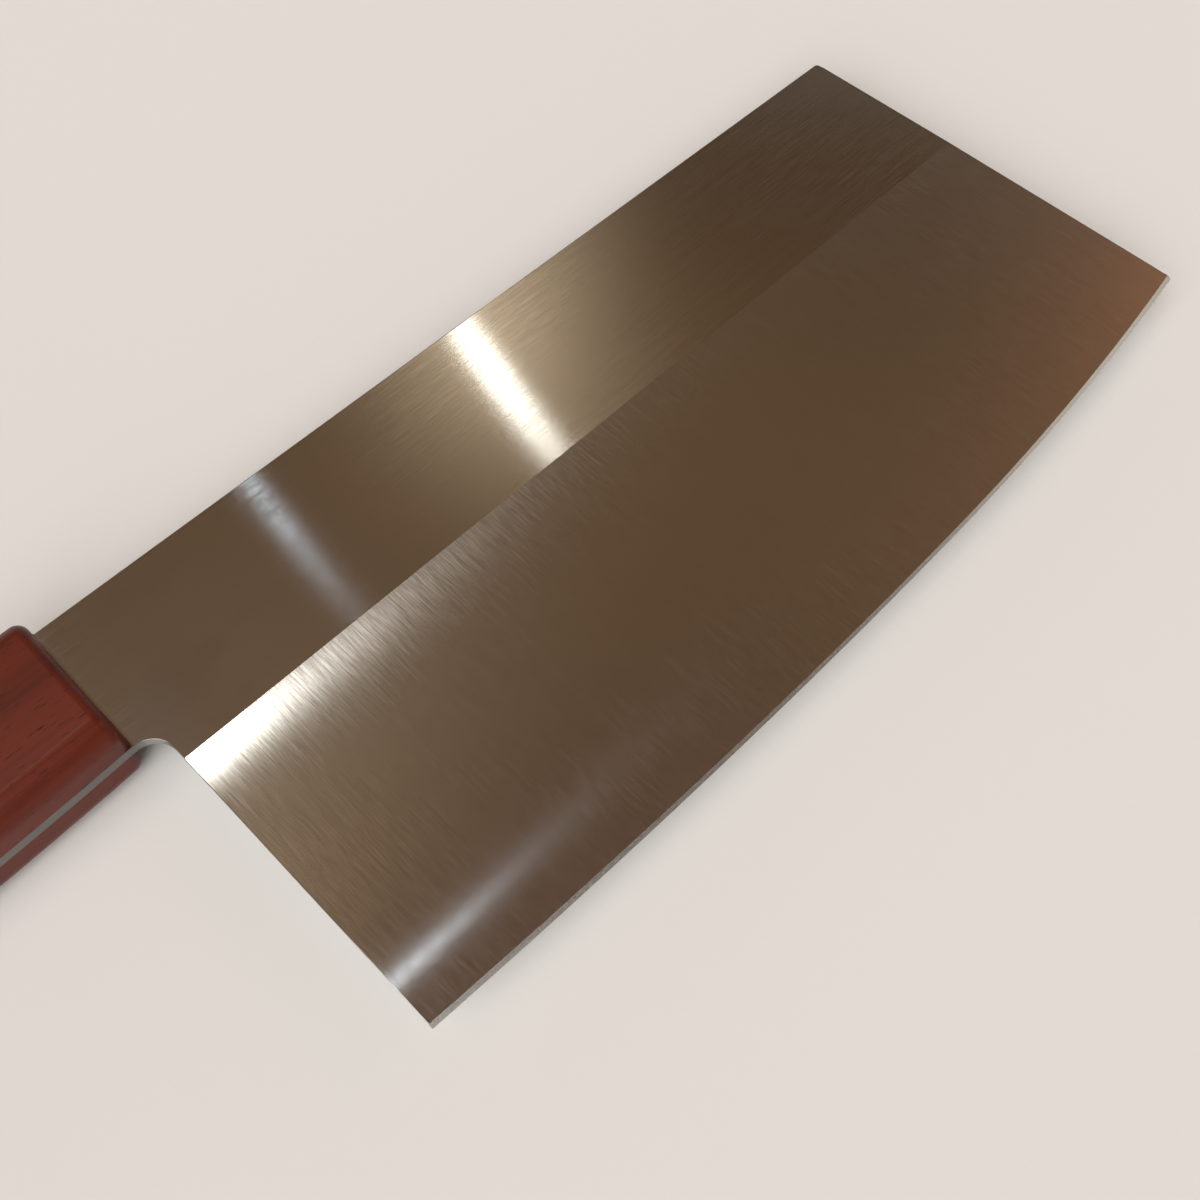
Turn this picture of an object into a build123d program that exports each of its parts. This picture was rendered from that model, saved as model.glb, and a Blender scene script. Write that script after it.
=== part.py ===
from build123d import *
import math
import os

# A broad kitchen cleaver with a thin blade and a riveted wooden handle. Lengths are in millimetres
# and angles in degrees. The knife is drawn lying on its left side: +X runs from the handle to the
# blade's front end, +Y from the cutting edge to the spine, and +Z out of the blade's right side.
# It is drawn round the point where the heel line meets the spine, halfway through the steel.

# Blade, seen from its side
blade_length = 220.0
belly_depth = 106.0
belly_to_heel = 132.0
heel_rise = 5.0
front_rise = 5.0
heel_corner_radius = 0.5
front_corner_radius = 0.4
front_top_radius = 1.0

# Blade, seen in section
spine_thickness = 2.1
spine_round = 0.3
flat_depth_at_heel = 38.6
flat_fall_to_front = 1.8
steel_behind_edge = 0.5
full_strip_width = 16.0
full_strip_gain = 0.06
sharpening_angle = 20.0
edge_land = 0.06

# Where the blade runs into the handle
grip_setback = 4.75
notch_radius = 5.0
flat_relief = 0.05
tang_reveal = 0.15

# Handle, seen from its side
grip_length = 110.0
grip_front_depth = 30.3
swell_gain = 1.4
waist_rise = 2.2
butt_flare = 4.6
butt_drop = 4.0
butt_rake = 3.5
butt_bulge = 2.2
butt_corner_radius = 7.0
swell_place_share = 0.40
waist_place_share = 0.74
top_straight_share = 0.52

# Handle, seen in section
scale_thickness = 8.5
scale_round = 4.7
scale_front_round = 2.2

# Rivets: a headed sleeve from the right side and a headed post from the left side
rivet_head_diameter = 8.0
rivet_head_thickness = 1.6
rivet_head_recess = 0.02
rivet_sleeve_diameter = 5.0
rivet_post_diameter = 3.2
rivet_post_fit = 0.03
rivet_hole_fit = 0.05
rivet_end_gap = 0.4
rivet_tip_chamfer = 0.4
rivet_place_shares = {"front": 0.22, "middle": 0.50, "rear": 0.78}

# How far cutting shapes run past the steel or wood that they cut
overrun = 2.0

# Sizes that follow from the ones above
tang_thickness = spine_thickness + 2 * flat_relief
heel_depth = belly_depth - heel_rise
front_depth = belly_depth - front_rise
swell_depth = grip_front_depth + swell_gain
waist_depth = swell_depth - waist_rise
butt_depth = waist_depth + butt_flare
grip_end = grip_setback + grip_length
handle_half = tang_thickness / 2 + scale_thickness
rivet_depth = swell_depth / 2
rivet_seat = handle_half - rivet_head_recess - rivet_head_thickness
rivet_shank_length = 2 * rivet_seat - rivet_end_gap
top_straight_end = (-grip_setback - top_straight_share * grip_length, 0)
swell = (-grip_setback - swell_place_share * grip_length, -swell_depth)
waist = (-grip_setback - waist_place_share * grip_length, -waist_depth)
between = ((swell[0] + waist[0]) / 2, (swell[1] + waist[1]) / 2)
belly = (belly_to_heel, -belly_depth)
heel_corner = (0, -heel_depth)
front_corner = (blade_length, -front_depth)
front_top = (blade_length, 0)
notch_corner = (0, -grip_front_depth)
butt_top = (-grip_end, -butt_drop)
butt_bottom = (butt_rake - grip_end, -butt_depth)


def level_arc(start, end):
    """The arc that leaves start along X and passes through end."""
    heading = math.copysign(1, end[0] - start[0])
    return TangentArc(start, end, tangent=(heading, 0))


def upright_edge(solid, corner):
    """The edge of a plate that stands at one corner of its outline."""
    return solid.edges().filter_by(Axis.Z).sort_by_distance((*corner, 0))[0]


def grip_face():
    """The handle's side view, which the tang and both scales share, drawn as far as the heel line."""
    middle = ((butt_top[0] + butt_bottom[0]) / 2 - butt_bulge, (butt_top[1] + butt_bottom[1]) / 2)
    outline = [
        Line((0, 0), top_straight_end),
        level_arc(top_straight_end, butt_top),
        ThreePointArc(butt_top, middle, butt_bottom),
        level_arc(waist, butt_bottom),
        level_arc(waist, between),
        level_arc(swell, between),
        level_arc(swell, notch_corner),
        Line(notch_corner, (0, 0)),
    ]
    return make_face(outline)


def blade_face():
    """The blade's side view, with its edge as two arcs that meet level at the belly."""
    outline = [
        Line((0, 0), front_top),
        Line(front_top, front_corner),
        level_arc(belly, front_corner),
        level_arc(belly, heel_corner),
        Line(heel_corner, (0, 0)),
    ]
    return make_face(outline)


# Each broad bevel starts at the grind line, which falls slightly towards the front end. The cut's
# section is a wedge. Its long side is straight at first, and turns down in a flat arc along the last
# strip above the edge, where the steel is left a little full.
def bevel_cut():
    along = Vector(blade_length, -flat_fall_to_front, 0).normalized()
    down = Vector(along.Y, -along.X, 0)
    start = Vector(0, -flat_depth_at_heel, 0) - along * overrun
    section_plane = Plane(origin=start, x_dir=down, z_dir=along)
    half_spine = spine_thickness / 2
    half_edge = steel_behind_edge / 2
    reach = belly_depth - flat_depth_at_heel
    outside = half_spine + overrun
    strip_start = reach - full_strip_width
    chord = half_spine + (half_edge - half_spine) * strip_start / reach
    bevel = Line((0, half_spine), (strip_start, chord + full_strip_gain))
    section = make_face([
        bevel,
        TangentArc(bevel @ 1, (reach, half_edge), tangent=bevel % 1),
        Line((reach, half_edge), (reach, outside)),
        Line((reach, outside), (0, outside)),
        Line((0, outside), (0, half_spine)),
    ])
    return extrude(section_plane * section, blade_length + 2 * overrun)


# The sharpened edge is a narrow cone along each arc of the edge. The cut turns about the arc's
# centre, from the belly to just past the corner that the arc ends at.
def sharpening_cut(end):
    run = end[0] - belly[0]
    rise = end[1] - belly[1]
    radius = (run ** 2 + rise ** 2) / (2 * rise)
    half_land = edge_land / 2
    half_spine = spine_thickness / 2
    width = (half_spine - half_land) / math.tan(math.radians(sharpening_angle))
    section = make_face(Polyline(
        (radius, half_land),
        (radius - width, half_spine),
        (radius + overrun, half_spine),
        (radius + overrun, half_land),
        close=True,
    ))
    centre = (belly[0], belly[1] + radius, 0)
    turn = math.degrees(math.asin(min(1, (abs(run) + overrun) / radius)))
    axis = Axis(centre, (0, 0, math.copysign(1, run)))
    section_plane = Plane(origin=centre, x_dir=(0, -1, 0), z_dir=(1, 0, 0))
    return revolve(section_plane * section, axis=axis, revolution_arc=turn)


def rivet_holes(radius, low, high):
    """One upright cylinder at each rivet, from one height to another."""
    holes = []
    for share in rivet_place_shares.values():
        place = Pos(-grip_setback - share * grip_length, -rivet_depth, (low + high) / 2)
        holes.append(place * Cylinder(radius, high - low))
    return holes


def blade():
    """Blade and full tang, ground from one plate."""
    plate = extrude(blade_face() + grip_face(), tang_thickness / 2, both=True)
    plate = fillet(upright_edge(plate, notch_corner), notch_radius)
    plate = fillet(upright_edge(plate, heel_corner), heel_corner_radius)
    plate = fillet(upright_edge(plate, front_corner), front_corner_radius)
    plate = fillet(upright_edge(plate, front_top), front_top_radius)
    plate = fillet([upright_edge(plate, butt_top), upright_edge(plate, butt_bottom)], butt_corner_radius)

    flat_start = tang_reveal - grip_setback
    relief_length = blade_length + overrun - flat_start
    relief_width = belly_depth + 2 * overrun
    relief = Pos(flat_start + relief_length / 2, -belly_depth / 2, spine_thickness / 2 + overrun / 2)
    relief *= Box(relief_length, relief_width, overrun)
    for side in (relief, mirror(relief, Plane.XY)):
        plate -= side

    level_edges = plate.edges().filter_by(Axis.X)
    spine_edges = level_edges.filter_by(lambda e: e.center().X > 0 and abs(e.center().Y) < spine_round)
    plate = fillet(spine_edges, spine_round)

    for cut in (bevel_cut(), sharpening_cut(heel_corner), sharpening_cut(front_corner)):
        plate -= cut
        plate -= mirror(cut, Plane.XY)
    hole_radius = rivet_sleeve_diameter / 2 + rivet_hole_fit
    for hole in rivet_holes(hole_radius, -tang_thickness, tang_thickness):
        plate -= hole
    return plate


def handle_scale():
    """The right scale: a slab of wood with its outer edges rounded and stepped rivet holes."""
    ahead = Pos(-grip_setback, -belly_depth, 0) * Rectangle(
        grip_end, 2 * belly_depth, align=(Align.MIN, Align.MIN)
    )
    scale = extrude(grip_face() - ahead, scale_thickness)
    scale = fillet([upright_edge(scale, butt_top), upright_edge(scale, butt_bottom)], butt_corner_radius)
    front = scale.faces().sort_by(Axis.X)[-1]
    outer = scale.faces().sort_by(Axis.Z)[-1]
    front_edge = (outer.edges() & front.edges())[0]
    scale = fillet(outer.edges() - [front_edge], scale_round)
    front = scale.faces().sort_by(Axis.X)[-1]
    scale = fillet(front.edges().sort_by(Axis.Z)[1:], scale_front_round)

    shank_radius = rivet_sleeve_diameter / 2 + rivet_hole_fit
    seat_radius = rivet_head_diameter / 2 + rivet_hole_fit
    seat_floor = scale_thickness - rivet_head_recess - rivet_head_thickness
    for hole in rivet_holes(shank_radius, -overrun, scale_thickness + overrun):
        scale -= hole
    for seat in rivet_holes(seat_radius, seat_floor, scale_thickness + overrun):
        scale -= seat
    return Pos(0, 0, tang_thickness / 2) * scale


def rivet_half(shank):
    """A shank that hangs from height zero, with the rivet's head on top of it."""
    above = (Align.CENTER, Align.CENTER, Align.MIN)
    return Cylinder(rivet_head_diameter / 2, rivet_head_thickness, align=above) + shank


def rivet_sleeve():
    """The half that comes in from the right side: a head on a hollow shank."""
    below = (Align.CENTER, Align.CENTER, Align.MAX)
    sleeve = rivet_half(Cylinder(rivet_sleeve_diameter / 2, rivet_shank_length, align=below))
    sleeve -= Cylinder(rivet_post_diameter / 2 + rivet_post_fit, rivet_shank_length + overrun, align=below)
    return Pos(0, 0, rivet_seat) * sleeve


def rivet_post():
    """The half that comes in from the left side: a head on a solid shank with a chamfered tip."""
    below = (Align.CENTER, Align.CENTER, Align.MAX)
    shank = Cylinder(rivet_post_diameter / 2, rivet_shank_length, align=below)
    shank = chamfer(shank.edges().sort_by(Axis.Z)[0], rivet_tip_chamfer)
    return Pos(0, 0, -rivet_seat) * Rot(180, 0, 0) * rivet_half(shank)


right_scale = handle_scale()
nodes = {
    "blade": blade(),
    "handle_scale_right": right_scale,
    "handle_scale_left": mirror(right_scale, Plane.XY),
}
for name, share in rivet_place_shares.items():
    place = Pos(-grip_setback - share * grip_length, -rivet_depth, 0)
    nodes[f"rivet_{name}_sleeve"] = place * rivet_sleeve()
    nodes[f"rivet_{name}_post"] = place * rivet_post()

# The finished knife stands on z = 0 with its bounding box centred over the origin.
box = Compound(list(nodes.values())).bounding_box()
to_origin = Pos(-(box.min.X + box.max.X) / 2, -(box.min.Y + box.max.Y) / 2, -box.min.Z)
os.makedirs("parts", exist_ok=True)
for name, part in nodes.items():
    export_step(to_origin * part, f"parts/{name}.step")
    print(f"{name}: {part.volume:.1f} mm3")
print(f"heel line at the spine: {to_origin.position}")
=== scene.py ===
# %% [markdown]
# # A broad kitchen cleaver in brushed steel and red wood
# This lesson dresses a finished construction model of a cleaver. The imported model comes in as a
# fixed frame, and every piece that is modelled here takes its place from it. The knife lies on its
# left side: X runs from the handle to the blade's front end, Y from the edge to the spine, Z up.

# %% Load the frame
import bmesh
import bpy
import math
from mathutils import Matrix, Vector
from mathutils.geometry import intersect_sphere_sphere_2d


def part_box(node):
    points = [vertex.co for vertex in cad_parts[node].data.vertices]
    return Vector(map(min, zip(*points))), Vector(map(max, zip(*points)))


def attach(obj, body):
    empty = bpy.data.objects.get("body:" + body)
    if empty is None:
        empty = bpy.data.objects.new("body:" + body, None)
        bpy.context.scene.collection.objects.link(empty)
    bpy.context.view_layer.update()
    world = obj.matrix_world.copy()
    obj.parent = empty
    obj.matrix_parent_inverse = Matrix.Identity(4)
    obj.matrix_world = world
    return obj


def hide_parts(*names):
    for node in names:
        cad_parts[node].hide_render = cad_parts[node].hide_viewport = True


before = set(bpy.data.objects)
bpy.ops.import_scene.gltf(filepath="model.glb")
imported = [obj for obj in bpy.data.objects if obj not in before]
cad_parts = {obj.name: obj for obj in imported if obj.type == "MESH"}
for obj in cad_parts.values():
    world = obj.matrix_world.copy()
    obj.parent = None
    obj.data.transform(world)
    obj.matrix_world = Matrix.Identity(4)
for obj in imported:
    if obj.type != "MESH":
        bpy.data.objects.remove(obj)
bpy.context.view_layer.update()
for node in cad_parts:
    print("packed piece:", node)

# %% [markdown]
# The thinnest things on this knife are a few hundredths of a millimetre, and Blender's tools work
# best near one unit. So every piece is drawn with one unit to the millimetre, round the point where
# the heel line meets the spine, halfway through the steel. When it is finished it is shrunk and
# set down in the frame.

# %% Find the drawing's origin in the frame
blade_length = 220
millimetre = 0.001

blade_low, blade_high = [Vector(corner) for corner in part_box("blade")]
wood_high = Vector(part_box("handle_scale_right")[1]) / millimetre
heel_line = blade_high.x - blade_length * millimetre
origin = Vector((heel_line, blade_high.y, (blade_low.z + blade_high.z) / 2))
handle_half = wood_high.z - origin.z / millimetre
wood_front = wood_high.x - origin.x / millimetre
print("origin of the drawing:", [round(value, 5) for value in origin])
print("half the handle's thickness:", round(handle_half, 3))
print("the wood's front end:", round(wood_front, 3))

# %% [markdown]
# An outline is drawn as a draughtsman draws it, with straight strokes and arcs. The pen is one
# vertex: a straight stroke extrudes it, and an arc spins it round the arc's centre. That gives true
# arcs, and the handle's outline can serve both the steel and the wood.

# %% Draw an outline with a vertex
def straight(end):
    return {"end": Vector(end), "centre": None, "steps": 1}


def arc(centre, end, steps):
    return {"end": Vector(end), "centre": Vector(centre), "steps": steps}


def draw(name, start, strokes, height):
    """A filled flat outline at one height, in edit mode and selected."""
    bpy.ops.object.select_all(action="DESELECT")
    bpy.ops.mesh.primitive_plane_add(size=1, location=(start[0], start[1], height))
    bpy.ops.object.transform_apply(location=True)
    piece = bpy.context.object
    piece.name = name
    bpy.ops.object.mode_set(mode="EDIT")
    bpy.ops.mesh.select_mode(type="VERT")
    bpy.ops.mesh.merge(type="CENTER")
    here = Vector(start)
    for stroke in strokes:
        if stroke["centre"] is None:
            step = stroke["end"] - here
            bpy.ops.mesh.extrude_region_move(TRANSFORM_OT_translate={"value": (step.x, step.y, 0)})
        else:
            turn = (stroke["end"] - stroke["centre"]).angle_signed(here - stroke["centre"])
            centre = (*stroke["centre"], height)
            bpy.ops.mesh.spin(steps=stroke["steps"], angle=-turn, center=centre, axis=(0, 0, 1))
        here = stroke["end"]
    bpy.ops.mesh.select_all(action="SELECT")
    bpy.ops.mesh.remove_doubles(threshold=0.001)
    bpy.ops.mesh.edge_face_add()
    print(name, "outline of", len(bmesh.from_edit_mesh(piece.data).verts), "points")
    return piece


def thicken(height):
    """Extrudes the filled outline upwards into a closed plate."""
    bpy.ops.mesh.extrude_region_move(TRANSFORM_OT_translate={"value": (0, 0, height)})
    bpy.ops.mesh.select_all(action="SELECT")
    bpy.ops.mesh.normals_make_consistent(inside=False)


# %% [markdown]
# Most of this knife's curves leave a named point level, such as the belly of the edge or the waist
# of the handle. The centre of such an arc stands straight above or below that point.

# %% Centres of arcs
def level_centre(level, through):
    """Centre of the arc that is level at one point and passes through another."""
    run, rise = through[0] - level[0], through[1] - level[1]
    return Vector((level[0], level[1] + (run ** 2 + rise ** 2) / (2 * rise)))


def three_point_centre(first, second, third):
    one, two = Vector(second) - Vector(first), Vector(third) - Vector(first)
    toward = Vector((
        two.y * one.length_squared - one.y * two.length_squared,
        one.x * two.length_squared - two.x * one.length_squared,
    ))
    return Vector(first) + toward / (2 * one.cross(two))


def corner_centre(centre_a, reach_a, centre_b, reach_b, near):
    """Centre of the small arc that rounds the corner between two larger ones."""
    points = intersect_sphere_sphere_2d(centre_a, reach_a, centre_b, reach_b)
    return min(points, key=lambda point: (point - Vector(near)).length)


def touch(centre, radius, small_centre):
    """Where an arc and the small arc that rounds its end touch."""
    return centre + (small_centre - centre).normalized() * radius


# %% [markdown]
# The handle swells behind the blade, narrows at a waist and flares again to a raked, bulged butt.
# Steel and wood were sanded together on the real knife, so both follow this one outline.

# %% The handle's outline, from its top straight round to its underside
grip_length = 110
grip_front = -4.75
grip_end = grip_front - grip_length
top_straight_share = 0.52
swell_share = 0.40
waist_share = 0.74
front_depth = 30.3
swell_depth = 31.7
waist_depth = 29.5
butt_depth = 34.1
butt_drop = 4
butt_rake = 3.5
butt_bulge = 2.2
butt_corner = 7

top_end = Vector((grip_front - top_straight_share * grip_length, 0))
swell = Vector((grip_front - swell_share * grip_length, -swell_depth))
waist = Vector((grip_front - waist_share * grip_length, -waist_depth))
between = (swell + waist) / 2
underside_end = Vector((0, -front_depth))
butt_top = Vector((grip_end, -butt_drop))
butt_bottom = Vector((grip_end + butt_rake, -butt_depth))
butt_middle = (butt_top + butt_bottom) / 2 - Vector((butt_bulge, 0))

top_centre = level_centre(top_end, butt_top)
butt_centre = three_point_centre(butt_top, butt_middle, butt_bottom)
flare_centre = level_centre(waist, butt_bottom)
swell_centre = level_centre(swell, underside_end)
top_radius = (top_end - top_centre).length
butt_radius = (butt_top - butt_centre).length
flare_radius = (waist - flare_centre).length
swell_radius = (swell - swell_centre).length
upper_corner = corner_centre(
    top_centre, top_radius - butt_corner, butt_centre, butt_radius - butt_corner, butt_top)
lower_corner = corner_centre(
    flare_centre, flare_radius + butt_corner, butt_centre, butt_radius - butt_corner, butt_bottom)


def underside(x):
    """The handle's underside between the swell and the blade."""
    return Vector((x, swell_centre.y - math.sqrt(swell_radius ** 2 - (x - swell_centre.x) ** 2)))


def handle_strokes(last):
    """Strokes from the end of the top straight to a point on the underside near the blade."""
    return [
        arc(top_centre, touch(top_centre, top_radius, upper_corner), 10),
        arc(upper_corner, touch(butt_centre, butt_radius, upper_corner), 10),
        arc(butt_centre, touch(butt_centre, butt_radius, lower_corner), 8),
        arc(lower_corner, touch(flare_centre, flare_radius, lower_corner), 10),
        arc(flare_centre, waist, 8),
        arc(level_centre(waist, between), between, 6),
        arc(level_centre(swell, between), swell, 6),
        arc(swell_centre, last, 12),
    ]


print("butt radius:", round(butt_radius, 2), "swell radius:", round(swell_radius, 1))

# %% [markdown]
# Blade and tang are blanked from one sheet of steel. The cutting edge is two shallow arcs that meet
# level at the belly. A notch with a round corner lets a finger sit behind the heel.

# %% Draw the blank
belly = Vector((132, -106))
corner_depth = 101
heel_corner = Vector((0, -corner_depth))
front_corner = Vector((blade_length, -corner_depth))
notch_radius = 5
half_blade = 1.05
heel_steps, front_steps = 26, 18

heel_centre = level_centre(belly, heel_corner)
front_centre = level_centre(belly, front_corner)
notch_reach = swell_radius + notch_radius
notch_centre = Vector((
    -notch_radius,
    swell_centre.y - math.sqrt(notch_reach ** 2 - (notch_radius + swell_centre.x) ** 2),
))
blade = draw("blade_ground", heel_corner, [
    arc(heel_centre, belly, heel_steps),
    arc(front_centre, front_corner, front_steps),
    straight((blade_length, 0)),
    straight(top_end),
    *handle_strokes(touch(swell_centre, swell_radius, notch_centre)),
    arc(notch_centre, (0, notch_centre.y), 8),
    straight(heel_corner),
], -half_blade)
thicken(2 * half_blade)

# %% [markdown]
# Edges and faces are picked in code, by where they lie and which way they face. The helper gives
# the count back, so that each step can say what it found.

# %% Pick faces and edges
def pick(piece, kind, wanted):
    """Selects only the faces, edges or vertices for which wanted is true."""
    bpy.ops.mesh.select_mode(type=kind)
    bpy.ops.mesh.select_all(action="DESELECT")
    mesh = bmesh.from_edit_mesh(piece.data)
    items = {"FACE": mesh.faces, "EDGE": mesh.edges, "VERT": mesh.verts}[kind]
    found = [item for item in items if wanted(item)]
    for item in found:
        item.select_set(True)
    bmesh.update_edit_mesh(piece.data)
    return len(found)


def middle(edge):
    return (edge.verts[0].co + edge.verts[1].co) / 2


def upright_at(corner):
    """A test for the edge that stands at one corner of a plate."""
    def test(edge):
        one, two = edge.verts[0].co, edge.verts[1].co
        return (one - two).xy.length < 0.001 and (one.xy - Vector(corner)).length < 0.01
    return test


# %% [markdown]
# A knife that sharp at its corners would scratch its owner, so the maker breaks them: the front
# end's upper corner by about a millimetre, the two corners of the edge by half of that.

# %% Round the corners of the blank
top_corner_round = 1.0
corner_rounds = {
    (blade_length, 0): top_corner_round,
    tuple(heel_corner): 0.5,
    tuple(front_corner): 0.4,
}
for corner, radius in corner_rounds.items():
    count = pick(blade, "EDGE", upright_at(corner))
    bpy.ops.mesh.bevel(offset=radius, segments=6, affect="EDGES", clamp_overlap=False)
    print("rounded", count, "corner by", radius)

# %% [markdown]
# The flats of the blade are ground a hair below the tang, which leaves a faint step just in front of
# the wood. A cut without clearing splits the broad faces there, and the tang's two faces are then
# extruded outwards.

# %% Leave the tang a little thicker
tang_reveal = 0.15
reveal_front = wood_front + tang_reveal
half_tang = 1.1
tang_step = half_tang - half_blade


def on_tang(face):
    return face.calc_center_median().x < reveal_front


bpy.ops.mesh.select_all(action="SELECT")
bpy.ops.mesh.bisect(plane_co=(reveal_front, 0, 0), plane_no=(1, 0, 0), threshold=1e-4)
for side in (1, -1):
    pick(blade, "FACE", lambda face: face.normal.z * side > 0.9 and on_tang(face))
    bpy.ops.mesh.extrude_region_move(TRANSFORM_OT_translate={"value": (0, 0, side * tang_step)})
print("step before the wood:", round(tang_step, 3), "mm")

# %% [markdown]
# The spine is rounded so that a palm can press on it.

# %% Round the spine
spine_round = 0.3


def on_spine(edge):
    """A test for the edges where the spine meets the two broad faces."""
    spot = middle(edge)
    one, two = edge.verts
    ahead = min(one.co.x, two.co.x) > reveal_front - 0.001
    at_spine = spot.y > -top_corner_round - 0.01
    on_broad_face = abs(abs(spot.z) - half_blade) < 0.001 and abs(one.co.z - two.co.z) < 0.001
    if not (ahead and at_spine and on_broad_face and edge.is_manifold):
        return False
    return edge.calc_length() > 0.01 and min(abs(face.normal.z) for face in edge.link_faces) < 0.5


print("spine edges:", pick(blade, "EDGE", on_spine))
bpy.ops.mesh.bevel(offset=spine_round, segments=6, affect="EDGES", clamp_overlap=False)

# %% [markdown]
# Grinding takes steel away beyond a plane, and so does bisect when it clears the outer side and
# fills the cut. The broad bevel is flat for most of its depth. In the last strip above the edge the
# steel is left a little full, which is a run of cuts, each tilted slightly more than the last.

# %% Grind the two broad bevels
flat_depth = 38.6
flat_fall = 1.8
half_behind_edge = 0.25
bevel_reach = -belly.y - flat_depth
strip_width = 16
strip_gain = 0.06
strip_cuts = 10

along = Vector((blade_length, -flat_fall, 0)).normalized()
down = Vector((along.y, -along.x, 0))
up = Vector((0, 0, 1))
grind_start = Vector((0, -flat_depth, 0))
strip_start = bevel_reach - strip_width
strip_height = half_blade + (half_behind_edge - half_blade) * strip_start / bevel_reach + strip_gain
bevel_tilt = math.atan((half_blade - strip_height) / strip_start)
strip_tilt = math.atan((strip_height - half_behind_edge) / strip_width)
strip_turn = 2 * (strip_tilt - bevel_tilt)
strip_radius = math.hypot(strip_width, strip_height - half_behind_edge) / (2 * math.sin(strip_turn / 2))


def grind(point, outward):
    """Cuts away what lies beyond a plane, on both sides of the blade alike."""
    for side in (1, -1):
        pick(blade, "FACE", lambda face: face.calc_center_median().x > reveal_front)
        place = (point[0], point[1], point[2] * side)
        away = (outward[0], outward[1], outward[2] * side)
        bpy.ops.mesh.bisect(
            plane_co=place, plane_no=away, use_fill=True, clear_outer=True, threshold=1e-5)


for cut in range(strip_cuts + 1):
    tilt = bevel_tilt + strip_turn * cut / strip_cuts
    reach = strip_start + strip_radius * (math.sin(tilt) - math.sin(bevel_tilt))
    height = strip_height - strip_radius * (math.cos(bevel_tilt) - math.cos(tilt))
    grind(grind_start + down * reach + up * height, down * math.sin(tilt) + up * math.cos(tilt))
print("bevel tilt in degrees:", round(math.degrees(bevel_tilt), 2))
print("and just above the edge:", round(math.degrees(tilt), 2))

# %% [markdown]
# The cutting edge is sharpened last, at a steeper angle. One plane for each short chord of the two
# arcs makes a narrow band that follows the edge, with a hair of steel left between the two sides.
# Neighbouring cuts meet at very flat angles and leave slivers there, which are merged away.

# %% Sharpen the edge
sharpening_angle = math.radians(20)
half_land = 0.03
edge_zone = heel_corner.y + 10
sliver = 0.02
edge_arcs = (
    (heel_centre, heel_corner, heel_steps),
    (front_centre, front_corner, front_steps),
)

for centre, end, steps in edge_arcs:
    start_angle = math.atan2(belly.y - centre.y, belly.x - centre.x)
    end_angle = math.atan2(end.y - centre.y, end.x - centre.x)
    chord_reach = (belly - centre).length * math.cos((end_angle - start_angle) / (2 * steps))
    for step in range(steps):
        angle = start_angle + (end_angle - start_angle) * (step + 0.5) / steps
        outward = Vector((math.cos(angle), math.sin(angle), 0))
        point = Vector((centre.x, centre.y, half_land)) + outward * chord_reach
        grind(point, outward * math.sin(sharpening_angle) + up * math.cos(sharpening_angle))
pick(blade, "VERT", lambda vertex: vertex.co.y < edge_zone)
bpy.ops.mesh.remove_doubles(threshold=sliver)
bpy.ops.mesh.dissolve_degenerate(threshold=0.001)
print("faces after sharpening:", len(bmesh.from_edit_mesh(blade.data).faces))

# %% [markdown]
# The front end, the heel line and the notch are rubbed over with a stone. A small bevel on both
# sides lets these edges catch a line of light.

# %% Ease the blade's other edges
eased = 0.1
clear_of_tang = 0.2
clear_of_spine = 1.2
clear_of_edge = 1.5


def needs_easing(edge):
    """A test for the square edges of the blade, away from the tang, the spine and the edge."""
    spot = middle(edge)
    if not edge.is_manifold or spot.x < reveal_front + clear_of_tang or spot.y > -clear_of_spine:
        return False
    tilts = sorted(abs(face.normal.z) for face in edge.link_faces)
    centre = heel_centre if spot.x < belly.x else front_centre
    reach = (belly - centre).length - clear_of_edge
    return tilts[0] < 0.3 and tilts[1] > 0.99 and (spot.xy - centre).length < reach


print("edges to ease:", pick(blade, "EDGE", needs_easing))
bpy.ops.mesh.bevel(offset=eased, segments=2, affect="EDGES", clamp_overlap=False)

# %% [markdown]
# Flat steel shades as flat only if the big faces decide the normals. Smoothing by angle keeps the
# shoulders crisp. The grind line is marked sharp because its angle is under a degree, and so are the
# little planes of the sharpened band. A Weighted Normal modifier lets the larger face win at
# every shared corner.

# %% Mark the grind line and finish a piece
rim_limit = 0.85
band_limit = 0.97


def on_grind_line(edge):
    offsets = [abs((vertex.co - grind_start).dot(down)) for vertex in edge.verts]
    return max(offsets) < 0.02 and edge.calc_length() > 10


def on_sharpened_band(edge):
    """A face of the band looks up less than a broad face does and more than a rim."""
    low = middle(edge).y < edge_zone
    return low and all(rim_limit < abs(face.normal.z) < band_limit for face in edge.link_faces)


print("grind lines:", pick(blade, "EDGE", on_grind_line))
bpy.ops.mesh.mark_sharp()
print("edges of the sharpened band:", pick(blade, "EDGE", on_sharpened_band))
bpy.ops.mesh.mark_sharp()


def set_down(piece, smooth_angle):
    """Shades a finished piece and moves it from the drawing into the frame."""
    bpy.ops.mesh.select_all(action="SELECT")
    bpy.ops.mesh.normals_make_consistent(inside=False)
    bpy.ops.object.mode_set(mode="OBJECT")
    bpy.ops.object.select_all(action="DESELECT")
    piece.select_set(True)
    bpy.context.view_layer.objects.active = piece
    bpy.ops.object.shade_smooth_by_angle(angle=math.radians(smooth_angle), keep_sharp_edges=True)
    bpy.ops.object.modifier_add(type="WEIGHTED_NORMAL")
    piece.modifiers[-1].keep_sharp = True
    bpy.ops.object.modifier_apply(modifier=piece.modifiers[-1].name)
    piece.location = origin
    piece.scale = (millimetre, millimetre, millimetre)
    bpy.ops.object.transform_apply(location=True, rotation=True, scale=True)
    print(piece.name, "set down with", len(piece.data.polygons), "faces")


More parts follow.
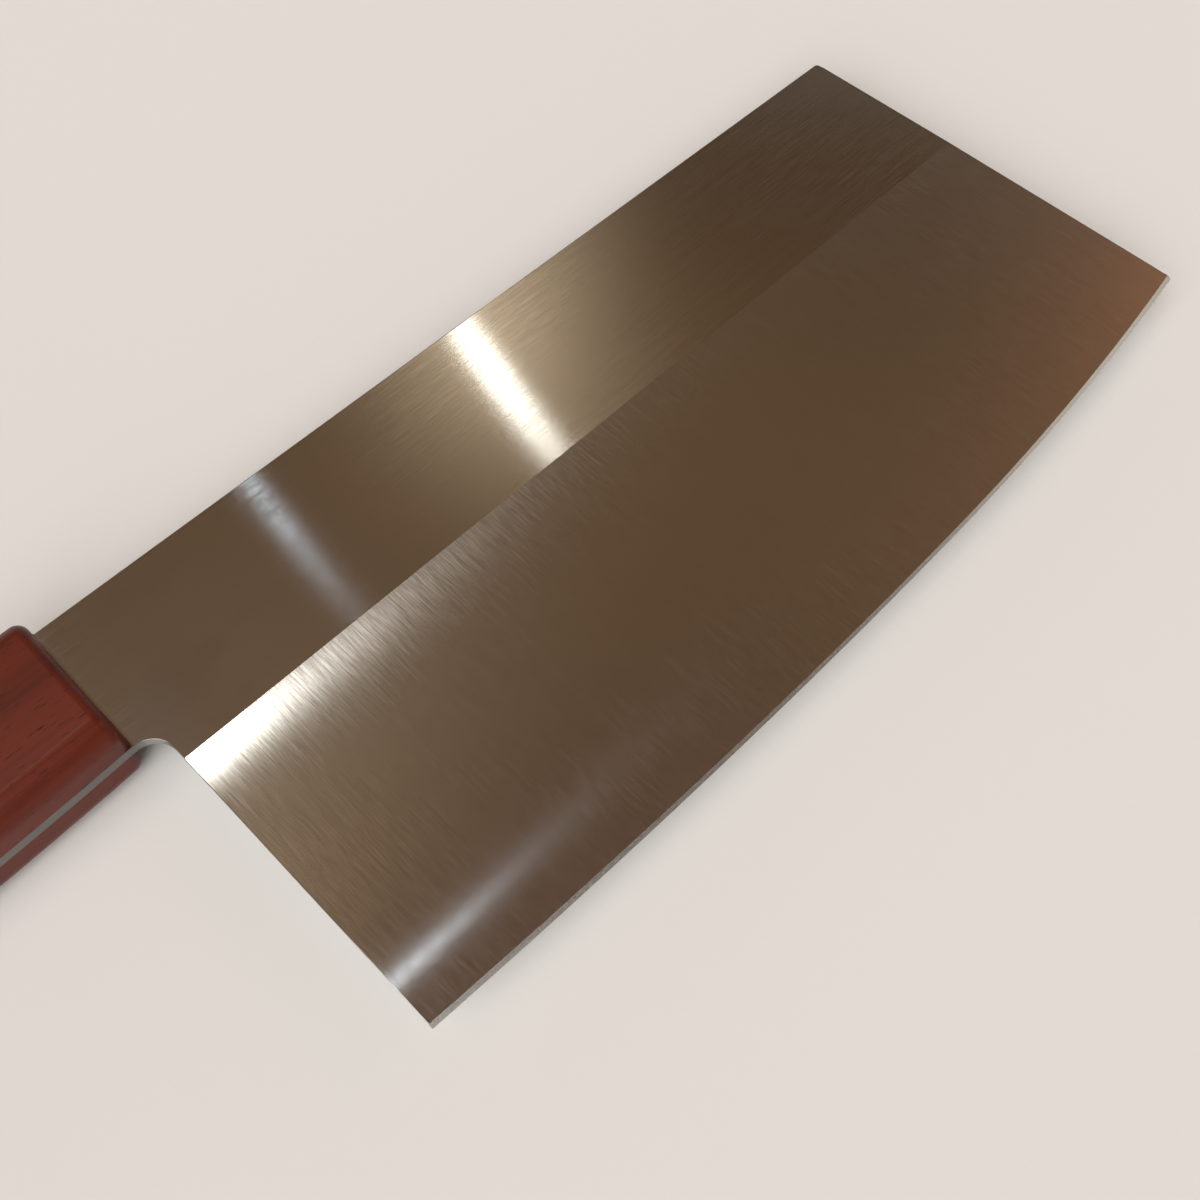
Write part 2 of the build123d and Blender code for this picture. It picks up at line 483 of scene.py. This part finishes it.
# %% [markdown]
# Three holes go through the tang for the rivets. Each drill is a cylinder, and a Boolean modifier
# takes its shape away. It can lose a tiny triangle where the rounded spine meets the tang's step, so
# holes with up to four sides are filled again. The wood gets stepped holes later, so the drill's
# radii come first.

# %% Drill the tang
rivet_shares = (0.22, 0.50, 0.78)
rivet_line = -15.85
rivet_places = [Vector((grip_front - share * grip_length, rivet_line)) for share in rivet_shares]
shank_hole = 2.55
seat_hole = 4.05


def drill(radius, low, high):
    """One cylinder at each rivet, joined into a single cutter."""
    bpy.ops.object.select_all(action="DESELECT")
    cutters = []
    for place in rivet_places:
        bpy.ops.mesh.primitive_cylinder_add(
            vertices=96, radius=radius, depth=high - low, location=(*place, (low + high) / 2))
        bpy.ops.object.transform_apply(location=True)
        cutters.append(bpy.context.object)
    for cutter in cutters:
        cutter.select_set(True)
    bpy.ops.object.join()
    return bpy.context.object


def cut_away(piece, cutter):
    bpy.ops.object.select_all(action="DESELECT")
    piece.select_set(True)
    bpy.context.view_layer.objects.active = piece
    bpy.ops.object.modifier_add(type="BOOLEAN")
    piece.modifiers[-1].operation = "DIFFERENCE"
    piece.modifiers[-1].object = cutter
    bpy.ops.object.modifier_apply(modifier=piece.modifiers[-1].name)
    bpy.data.objects.remove(cutter)


bpy.ops.object.mode_set(mode="OBJECT")
cut_away(blade, drill(shank_hole, -5, 5))
bpy.ops.object.mode_set(mode="EDIT")
bpy.ops.mesh.select_all(action="SELECT")
bpy.ops.mesh.fill_holes(sides=4)
set_down(blade, 17)

# %% [markdown]
# A scale is one half of the handle. It starts as the same outline, cut square where the blade
# begins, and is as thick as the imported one. The outer rim is rounded with a generous bevel, the
# front end with a smaller one, as a belt sander and then a hand would leave them.

# %% Shape the right scale
scale_round = 4.7
front_round = 2.2

scale = draw("scale_right_carved", (wood_front, 0), [
    straight(top_end),
    *handle_strokes(underside(wood_front)),
    straight((wood_front, 0)),
], half_tang)
thicken(handle_half - half_tang)


def on_outer_rim(edge):
    at_top = min(vertex.co.z for vertex in edge.verts) > handle_half - 0.001
    return at_top and middle(edge).x < wood_front - 0.01 and edge.calc_length() > 0.01


def on_front_rim(edge):
    at_front = min(vertex.co.x for vertex in edge.verts) > wood_front - 0.001
    return at_front and max(vertex.co.z for vertex in edge.verts) > half_tang + 0.001


print("rim edges:", pick(scale, "EDGE", on_outer_rim))
bpy.ops.mesh.bevel(offset=scale_round, segments=12, affect="EDGES", clamp_overlap=False)
print("front edges:", pick(scale, "EDGE", on_front_rim))
bpy.ops.mesh.bevel(offset=front_round, segments=8, affect="EDGES", clamp_overlap=False)

# %% [markdown]
# The left scale is the right one seen in a mirror. It is copied with a mesh of its own and turned
# over through the middle of the steel, which also turns it inside out, so its normals are made
# consistent again when it is set down.

# %% Seat the rivets in the wood and mirror the scale
rivet_head = 1.6
head_recess = 0.02
seat_floor = handle_half - head_recess - rivet_head

bpy.ops.object.mode_set(mode="OBJECT")
cut_away(scale, drill(shank_hole, 0, 20))
cut_away(scale, drill(seat_hole, seat_floor, 20))
scale_left = scale.copy()
scale_left.data = scale.data.copy()
scale_left.name = "scale_left_carved"
bpy.context.collection.objects.link(scale_left)
bpy.ops.object.mode_set(mode="EDIT")
set_down(scale, 20)

bpy.ops.object.select_all(action="DESELECT")
scale_left.select_set(True)
bpy.context.view_layer.objects.active = scale_left
bpy.ops.object.mode_set(mode="EDIT")
bpy.ops.mesh.select_all(action="SELECT")
bpy.ops.transform.resize(value=(1, 1, -1), center_override=(0, 0, 0))
set_down(scale_left, 20)

# %% [markdown]
# A cutler's rivet is two halves with flat heads. The sleeve is hollow and comes in from the right,
# the post is solid and is driven into it from the left. Both start as the head, a short cylinder.
# Its inner face is inset to the shank's width and extruded, and the outer rim is eased a touch. The
# post's tip is turned a little narrower, so that it finds the bore.

# %% Turn one sleeve and one post
head_radius = 4
shank_radius = 2.5
bore_radius = 1.63
post_radius = 1.6
shank_length = 2 * seat_floor - 0.4
rim_ease = 0.06


def head(name):
    bpy.ops.object.select_all(action="DESELECT")
    bpy.ops.mesh.primitive_cylinder_add(
        vertices=96, radius=head_radius, depth=rivet_head, location=(0, 0, seat_floor + rivet_head / 2))
    bpy.ops.object.transform_apply(location=True)
    made = bpy.context.object
    made.name = name
    bpy.ops.object.mode_set(mode="EDIT")
    return made


def lower_end(face):
    """A test for the round face that looks down, where the shank grows."""
    return face.normal.z < -0.9 and len(face.verts) > 50


def draw_shank(radius_from, radius_to, length):
    """Insets the selected round face and extrudes it along Z."""
    bpy.ops.mesh.inset(thickness=radius_from - radius_to)
    bpy.ops.mesh.extrude_region_move(TRANSFORM_OT_translate={"value": (0, 0, length)})


def ease_rim(piece):
    def test(edge):
        return min(vertex.co.z for vertex in edge.verts) > seat_floor + rivet_head - 0.001
    count = pick(piece, "EDGE", test)
    bpy.ops.mesh.bevel(offset=rim_ease, segments=3, affect="EDGES", clamp_overlap=False)
    return count


sleeve = head("rivet_sleeve_turned")
pick(sleeve, "FACE", lower_end)
draw_shank(head_radius, shank_radius, -shank_length)
draw_shank(shank_radius, bore_radius, shank_length)
print("rim edges eased on the sleeve:", ease_rim(sleeve))
bpy.ops.object.mode_set(mode="OBJECT")

post = head("rivet_post_turned")
tip_step = 0.4
pick(post, "FACE", lower_end)
draw_shank(head_radius, post_radius, tip_step - shank_length)
draw_shank(post_radius, post_radius - tip_step, -tip_step)
print("rim edges eased on the post:", ease_rim(post))
bpy.ops.object.mode_set(mode="OBJECT")

# %% [markdown]
# The three rivets are alike, so each copy gets a mesh of its own and is moved to its place. The
# post is turned over first, because it comes from the other side.

# %% Set the rivets
rivets = {}
for name, place in zip(("front", "middle", "rear"), rivet_places):
    for half, pattern, side in (("sleeve", sleeve, 1), ("post", post, -1)):
        copy = pattern.copy()
        copy.data = pattern.data.copy()
        copy.name = f"rivet_{name}_{half}_turned"
        bpy.context.collection.objects.link(copy)
        bpy.ops.object.select_all(action="DESELECT")
        copy.select_set(True)
        bpy.context.view_layer.objects.active = copy
        bpy.ops.object.mode_set(mode="EDIT")
        bpy.ops.mesh.select_all(action="SELECT")
        bpy.ops.transform.resize(value=(1, 1, side), center_override=(0, 0, 0))
        bpy.ops.transform.translate(value=(place.x, place.y, 0))
        set_down(copy, 20)
        rivets[f"rivet_{name}_{half}"] = copy
for pattern in (sleeve, post):
    bpy.data.objects.remove(pattern)

# %% [markdown]
# Every material here is made of nodes on Object coordinates, so a pattern keeps its real size and
# stays on its piece. A few small helpers keep the recipes short: one adds a node and plugs in its
# values, one makes a grain of a given length, width and height, one maps a range to another.

# %% Node helpers
def add(tree, kind, values=None, **settings):
    """Adds a node. A value may be a plain number, a list or another node's output."""
    made = tree.nodes.new(kind)
    for name, setting in settings.items():
        setattr(made, name, setting)
    for name, value in (values or {}).items():
        if isinstance(value, bpy.types.NodeSocket):
            tree.links.new(value, made.inputs[name])
        else:
            made.inputs[name].default_value = value
    return made


def grain(tree, size, detail=3, rough=0.55, shift=0):
    """Noise whose grains have a length, width and height in metres, from 0 to 1."""
    place = add(tree, "ShaderNodeTexCoord").outputs["Object"]
    mapping = {"Vector": place, "Scale": [1 / side for side in size], "Location": (shift, shift, shift)}
    spread = add(tree, "ShaderNodeMapping", mapping).outputs["Vector"]
    noise = {"Vector": spread, "Scale": 1, "Detail": detail, "Roughness": rough}
    return add(tree, "ShaderNodeTexNoise", noise).outputs["Fac"]


def remap(tree, value, low, high, to_low=0, to_high=1):
    ranges = {"Value": value, "From Min": low, "From Max": high, "To Min": to_low, "To Max": to_high}
    return add(tree, "ShaderNodeMapRange", ranges).outputs["Result"]


def sums(tree, first, second, operation="ADD"):
    made = add(tree, "ShaderNodeMath", operation=operation)
    for socket, value in zip(made.inputs, (first, second)):
        if isinstance(value, bpy.types.NodeSocket):
            tree.links.new(value, socket)
        else:
            socket.default_value = value
    return made.outputs["Value"]


def blend_colours(tree, share, first, second):
    made = add(tree, "ShaderNodeMix", {"Factor": share}, data_type="RGBA")
    for name, colour in (("A", first), ("B", second)):
        socket = [item for item in made.inputs if item.name == name and item.type == "RGBA"][0]
        if isinstance(colour, bpy.types.NodeSocket):
            tree.links.new(colour, socket)
        else:
            socket.default_value = (*colour, 1)
    return [item for item in made.outputs if item.type == "RGBA"][0]


def new_material(name):
    material = bpy.data.materials.new(name)
    material.use_nodes = True
    return material, material.node_tree, material.node_tree.nodes["Principled BSDF"]


# %% [markdown]
# Brushed steel spreads a reflection across its hairlines and keeps it sharp along them. The flats
# are brushed along the blade, so a lamp draws a narrow band from the spine to the grind line. The
# bevels are ground across, so a lamp draws a streak along the blade. The shader's anisotropy does
# the spreading, and a UV map whose first axis lies across the hairlines tells it which way. Smooth
# and rough hairlines lie side by side, which gives a reflection its bright core, its wide glow and
# its frayed ends.

# %% Brushed steel
steel_colour = (0.60, 0.59, 0.57)


def brushed_steel(name, across, lengthwise, smooth, rough, height, painted_shade_factor=1, smudged=False):
    """Steel with hairlines of one width in metres, along X or across it, and two roughnesses. The
    painted shade factor darkens its colour.
    """
    material, tree, shader = new_material(name)

    def hairs(width, length, shift):
        size = (length, width, width) if lengthwise else (width, length, width)
        return grain(tree, size, detail=4, rough=0.6, shift=shift)

    fine = hairs(across, across * 40, 0)
    broad = hairs(across * 2, across * 150, 7)
    tone = remap(tree, broad, 0.3, 0.7)
    # The painted shade factor darkens the steel's colour where a piece of it should look shaded.
    lighter = [value * painted_shade_factor for value in steel_colour]
    darker = [value * 0.98 for value in lighter]
    colour = blend_colours(tree, tone, darker, lighter)
    mixed = sums(tree, sums(tree, fine, 0.7, "MULTIPLY"), sums(tree, broad, 0.3, "MULTIPLY"))
    finish = remap(tree, mixed, 0.36, 0.64, smooth, rough)
    if smudged:
        cloud = grain(tree, (0.022, 0.014, 0.014), detail=3, rough=0.5, shift=3)
        place = add(tree, "ShaderNodeTexCoord").outputs["Object"]
        x = add(tree, "ShaderNodeSeparateXYZ", {"Vector": place}).outputs["X"]
        near_hand = remap(tree, x, origin.x + 0.080, origin.x + 0.010)
        film = sums(tree, remap(tree, cloud, 0.48, 0.70), near_hand, "MULTIPLY")
        finish = sums(tree, finish, sums(tree, film, 0.05, "MULTIPLY"))
        colour = blend_colours(tree, sums(tree, film, 0.45, "MULTIPLY"), colour, (0.47, 0.45, 0.42))
    relief = add(tree, "ShaderNodeBump", {"Height": mixed, "Strength": 1, "Distance": height})
    tangent = add(tree, "ShaderNodeTangent", direction_type="UV_MAP", uv_map="hairlines")
    tree.links.new(colour, shader.inputs["Base Color"])
    tree.links.new(finish, shader.inputs["Roughness"])
    tree.links.new(relief.outputs["Normal"], shader.inputs["Normal"])
    tree.links.new(tangent.outputs["Tangent"], shader.inputs["Tangent"])
    shader.inputs["Metallic"].default_value = 1
    shader.inputs["Anisotropic"].default_value = 1
    print(name, "with hairlines", round(across * 1000, 2), "mm wide")
    return material


flat_steel = brushed_steel(
    "steel_brushed_lengthwise", across=0.00018, lengthwise=True,
    smooth=0.10, rough=0.18, height=3e-6, smudged=True)
bevel_steel = brushed_steel(
    "steel_ground_across", across=0.00012, lengthwise=False,
    smooth=0.11, rough=0.18, height=3e-6)
# The rims get a darker colour than the steel: painted shade, standing in for the dark surroundings their
# narrow faces mirror.
rim_steel_painted_dark = brushed_steel(
    "steel_rims_painted_shade", across=0.00010, lengthwise=True,
    smooth=0.28, rough=0.40, height=3e-7, painted_shade_factor=0.42)
# The sharpened band's colour is darkened too: painted shade for the dark reflection along the edge.
edge_steel_painted_dark = brushed_steel(
    "steel_sharpened_painted_shade", across=0.00008, lengthwise=False,
    smooth=0.16, rough=0.28, height=3e-7, painted_shade_factor=0.6)

# %% [markdown]
# One mesh carries four finishes, two of them darkened with painted shade, so each face is given its own
# by where it lies and how it tilts.
# The UV map is laid straight onto the steel: its first axis always lies across the hairlines. On the
# bevel it is turned by a few degrees, so that the streaks keep close to the grind line, as they do
# on a blade that was drawn over the wheel at a slight slant.

# %% Give each face of the blade its finish
for material in (flat_steel, bevel_steel, rim_steel_painted_dark, edge_steel_painted_dark):
    blade.data.materials.append(material)
hairlines = blade.data.uv_layers.new(name="hairlines")
grind_point = origin + grind_start * millimetre
finish_counts = [0, 0, 0, 0]
lean = math.radians(2.5)
for face in blade.data.polygons:
    below = (face.center - grind_point).dot(down) > 0
    tilt = abs(face.normal.z)
    if tilt < rim_limit:
        face.material_index = 2
    elif tilt < band_limit:
        face.material_index = 3 if below and face.center.x > origin.x else 2
    else:
        face.material_index = 1 if below else 0
    finish_counts[face.material_index] += 1
    if face.material_index == 0:
        across, lengthwise = Vector((0, 1, 0)), Vector((1, 0, 0))
    elif face.material_index == 2:
        across, lengthwise = up, up.cross(face.normal)
    else:
        across = Vector((math.cos(lean), -math.sin(lean), 0))
        lengthwise = Vector((math.sin(lean), math.cos(lean), 0))
    for loop in face.loop_indices:
        point = blade.data.vertices[blade.data.loops[loop].vertex_index].co
        hairlines.data[loop].uv = (point.dot(across), point.dot(lengthwise))
print("faces of flat, bevel, rim and edge:", finish_counts)

# %% [markdown]
# The handle is a dense red-brown wood with a satin oil finish. Its tone drifts in long soft bands,
# with fine fibres inside them, and short dark pores lie along the grain. Because the grain is solid
# and runs along X, the butt shows it end on, as sawn wood does.

# %% Red wood
wood_light = (0.155, 0.020, 0.007)
wood_dark = (0.055, 0.007, 0.0025)
pore_colour = (0.010, 0.003, 0.002)


def red_wood(name, shift):
    material, tree, shader = new_material(name)
    bands = grain(tree, (0.090, 0.0060, 0.0060), detail=3, rough=0.5, shift=shift)
    rings = grain(tree, (0.070, 0.0013, 0.0013), detail=3, rough=0.55, shift=shift + 5)
    fibres = grain(tree, (0.016, 0.00022, 0.00022), detail=3, rough=0.6, shift=shift + 9)
    tone = sums(tree, remap(tree, bands, 0.28, 0.72, 0, 0.55), remap(tree, rings, 0.3, 0.7, 0, 0.30))
    tone = sums(tree, tone, remap(tree, fibres, 0.3, 0.7, 0, 0.15))

    place = add(tree, "ShaderNodeTexCoord").outputs["Object"]
    cells = {"Vector": place, "Scale": (1 / 0.0042, 1 / 0.00042, 1 / 0.00042), "Location": (shift, 0, 0)}
    spread = add(tree, "ShaderNodeMapping", cells).outputs["Vector"]
    seeds = add(tree, "ShaderNodeTexVoronoi", {"Vector": spread, "Scale": 1, "Randomness": 1})
    crowding = remap(tree, rings, 0.35, 0.65, 0.10, 0.30)
    pores = sums(tree, crowding, seeds.outputs["Distance"], "SUBTRACT")
    pores = remap(tree, pores, 0, 0.12)

    colour = blend_colours(tree, tone, wood_dark, wood_light)
    colour = blend_colours(tree, sums(tree, pores, 0.9, "MULTIPLY"), colour, pore_colour)
    rough = sums(tree, remap(tree, fibres, 0.3, 0.7, 0.36, 0.44), sums(tree, pores, 0.2, "MULTIPLY"))
    height = sums(tree, sums(tree, fibres, 0.25, "MULTIPLY"), pores, "SUBTRACT")
    relief = add(tree, "ShaderNodeBump", {"Height": height, "Strength": 1, "Distance": 2.5e-5})
    tree.links.new(colour, shader.inputs["Base Color"])
    tree.links.new(rough, shader.inputs["Roughness"])
    tree.links.new(relief.outputs["Normal"], shader.inputs["Normal"])
    shader.inputs["Specular IOR Level"].default_value = 0.25
    shader.inputs["Coat Weight"].default_value = 0.07
    shader.inputs["Coat Roughness"].default_value = 0.22
    return material


scale.data.materials.append(red_wood("wood_right", 0))
scale_left.data.materials.append(red_wood("wood_left", 31))
print("wood tones from", wood_dark, "to", wood_light)

# %% [markdown]
# The rivet heads were sanded flush together with the wood, so their fine scratches run along the
# handle too. They are a softer metal than the blade, and a little greyer.

# %% Rivet metal
rivet_colour = (0.52, 0.51, 0.49)


def rivet_metal():
    material, tree, shader = new_material("rivet_aluminium")
    scratches = grain(tree, (0.006, 0.00010, 0.00010), detail=3)
    clouds = grain(tree, (0.002, 0.002, 0.002), detail=2, shift=4)
    darker = [value * 0.88 for value in rivet_colour]
    colour = blend_colours(tree, remap(tree, clouds, 0.3, 0.7), darker, rivet_colour)
    rough = remap(tree, scratches, 0.3, 0.7, 0.24, 0.46)
    relief = add(tree, "ShaderNodeBump", {"Height": scratches, "Strength": 1, "Distance": 4e-6})
    tree.links.new(colour, shader.inputs["Base Color"])
    tree.links.new(rough, shader.inputs["Roughness"])
    tree.links.new(relief.outputs["Normal"], shader.inputs["Normal"])
    shader.inputs["Metallic"].default_value = 1
    return material


metal = rivet_metal()
for piece in rivets.values():
    piece.data.materials.append(metal)
print("rivet halves finished:", len(rivets))

# %% [markdown]
# Each dressed piece now stands for its packed one, which is hidden, and rides on the same body.

# %% Tie the pieces to the frame
dressed = {"blade": (blade, "blade_steel")}
dressed["handle_scale_right"] = (scale, "handle_wood")
dressed["handle_scale_left"] = (scale_left, "handle_wood")
for node, piece in rivets.items():
    dressed[node] = (piece, "rivet_metal")
for node, (piece, finish) in dressed.items():
    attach(piece, "root")
    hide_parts(node)
print("dressed pieces:", len(dressed))

# %% [markdown]
# The knife lies on a plain pale floor that runs to the horizon.

# %% Floor
floor_size = 80
bpy.ops.object.select_all(action="DESELECT")
bpy.ops.mesh.primitive_grid_add(x_subdivisions=8, y_subdivisions=8, size=floor_size, location=(0, 0, 0))
floor = bpy.context.object
floor.name = "floor"
floor_material, floor_tree, floor_shader = new_material("floor_pale")
mottle = grain(floor_tree, (0.4, 0.4, 0.4), detail=2)
floor_colour = blend_colours(floor_tree, mottle, (0.73, 0.73, 0.725), (0.76, 0.76, 0.755))
floor_tree.links.new(floor_colour, floor_shader.inputs["Base Color"])
floor_shader.inputs["Roughness"].default_value = 1
floor_shader.inputs["Specular IOR Level"].default_value = 0.1
floor.data.materials.append(floor_material)
print("floor of", floor_size, "metres")

# %% [markdown]
# Polished steel shows whatever stands opposite, so the studio is arranged for it. The dome is as
# pale as the floor at the horizon and dim and warm overhead, which gives the blade its deep tone.
# Six soft glows brighten it: round the band, two beyond the heel, over the rear half, towards the
# tip, and behind the camera, where the sharpened edge looks. A soft sun from the left lights wood
# and floor, and no mirror angle of the broad faces shows it.

# %% Dome
world = bpy.data.worlds.new("studio")
bpy.context.scene.world = world
world.use_nodes = True
sky = world.node_tree
dome_colours = {
    0.02: (0.72, 0.71, 0.7),
    0.3: (0.42, 0.39, 0.36),
    0.62: (0.084, 0.046, 0.021),
    0.8: (0.17, 0.097, 0.046),
    1.0: (0.11, 0.056, 0.03),
}
direction = add(sky, "ShaderNodeTexCoord").outputs["Generated"]
rise = add(sky, "ShaderNodeSeparateXYZ", {"Vector": direction}).outputs["Z"]
dome = add(sky, "ShaderNodeValToRGB", {"Fac": rise})
stops = dome.color_ramp.elements
while len(stops) < len(dome_colours):
    stops.new(0.5)
for stop, (position, colour) in zip(stops, dome_colours.items()):
    stop.position = position
    stop.color = (*colour, 1)
glows = {
    "round the band": ((0.43, 0.54, 0.72), (0.24, 0.16, 0.6), (2, 1.6, 1.1)),
    "beyond the heel": ((-0.1, 0.42, 0.9), (0.12, 0.17, 0.6), (0.8, 0.7, 0.5)),
    "over the rear half": ((0.1, 0.4, 0.91), (0.5, 0.42, 0.6), (0.27, 0.19, 0.13)),
    "towards the tip": ((0.88, 0, 0.47), (0.42, 0.4, 0.6), (1.3, 0.56, 0.26)),
    "behind the handle": ((-0.3, 0.34, 0.89), (0.39, 0.32, 0.6), (2.5, 1.9, 1.2)),
    "for the sharpened edge": ((0.74, -0.34, 0.58), (0.45, 0.3, 0.6), (3, 2.7, 2.3)),
}
glow_falloff = 3
seen = dome.outputs["Color"]
for heading, size, colour in glows.values():
    around = add(sky, "ShaderNodeMapping", {"Vector": direction, "Location": heading, "Scale": size},
                 vector_type="TEXTURE")
    ball = add(sky, "ShaderNodeTexGradient", {"Vector": around.outputs["Vector"]},
               gradient_type="SPHERICAL")
    strength = sums(sky, ball.outputs["Fac"], glow_falloff, "POWER")
    seen = blend_colours(sky, strength, seen, colour)
sky.links.new(seen, sky.nodes["Background"].inputs["Color"])
sky.nodes["Background"].inputs["Strength"].default_value = 1
print("dome with", len(stops), "colours and", len(glows), "glows")

# %% [markdown]
# Four small lamps stand where the blade mirrors them. The flat draws two of them out as bands from
# the spine to the grind line. The other two stand over the heel, and the bevel draws them out as
# streaks: one under the grind line, one low down. They are there for the reflections alone, so their
# diffuse light is switched off and they put no hard shadow on the floor.

# %% Lamps
lit_point = Vector((0.02, 0.0, 0.01))
lamp_distance = 1.2


def facing(back):
    """A turn that points a lamp at what it lights, with its width as near to X as it can be."""
    side = (Vector((1, 0, 0)) - back * back.x).normalized()
    return Matrix((side, back.cross(side), back)).transposed().to_4x4()


def small_lamp(name, heading, size, power, colour):
    """A small rectangular lamp that only reflections see."""
    data = bpy.data.lights.new(name, "AREA")
    data.shape = "RECTANGLE"
    data.size, data.size_y = size
    data.energy = power
    data.color = colour
    made = bpy.data.objects.new(name, data)
    bpy.context.collection.objects.link(made)
    back = Vector(heading).normalized()
    made.matrix_world = Matrix.Translation(lit_point + back * lamp_distance) @ facing(back)
    made.visible_diffuse = False
    print(name, "at", [round(value, 2) for value in made.location])


small_lamp("lamp_band", (0.42, 0.52, 0.744), (0.03, 0.16), 0.085, (1, 0.99, 0.9))
small_lamp("lamp_second_band", (0.175, 0.6, 0.781), (0.012, 0.1), 0.017, (0.72, 0.87, 1))
small_lamp("lamp_under_grind_line", (-0.13, 0.447, 0.885), (0.04, 0.014), 0.65, (1, 0.99, 0.93))
small_lamp("lamp_low_streak", (-0.033, 0.178, 0.984), (0.03, 0.016), 0.025, (0.82, 0.9, 1))

sun_heading = (-0.70, -0.25, 0.67)
sun_data = bpy.data.lights.new("sun_soft", "SUN")
sun_data.energy = 3.5
sun_data.angle = math.radians(60)
sun_data.color = (1.0, 0.985, 0.96)
sun = bpy.data.objects.new("sun_soft", sun_data)
bpy.context.collection.objects.link(sun)
sun.matrix_world = facing(Vector(sun_heading).normalized())

# %% [markdown]
# The camera stands where the photograph's camera stood, worked out from the lines of the blade:
# close above the knife, near the heel, and turned so that the handle leaves the picture at left.

# %% Camera
camera_place = (-0.05741, -0.08306, 0.19655)
camera_turn = (28.96, -1.22, -46.10)
camera_data = bpy.data.cameras.new("camera")
camera_data.sensor_width = 36
camera_data.lens = 34.6
camera_data.clip_start = 0.01
camera = bpy.data.objects.new("camera", camera_data)
bpy.context.collection.objects.link(camera)
camera.location = camera_place
camera.rotation_euler = [math.radians(angle) for angle in camera_turn]
bpy.context.scene.camera = camera
bpy.context.scene.view_settings.view_transform = "Standard"
print("camera at", camera_place)
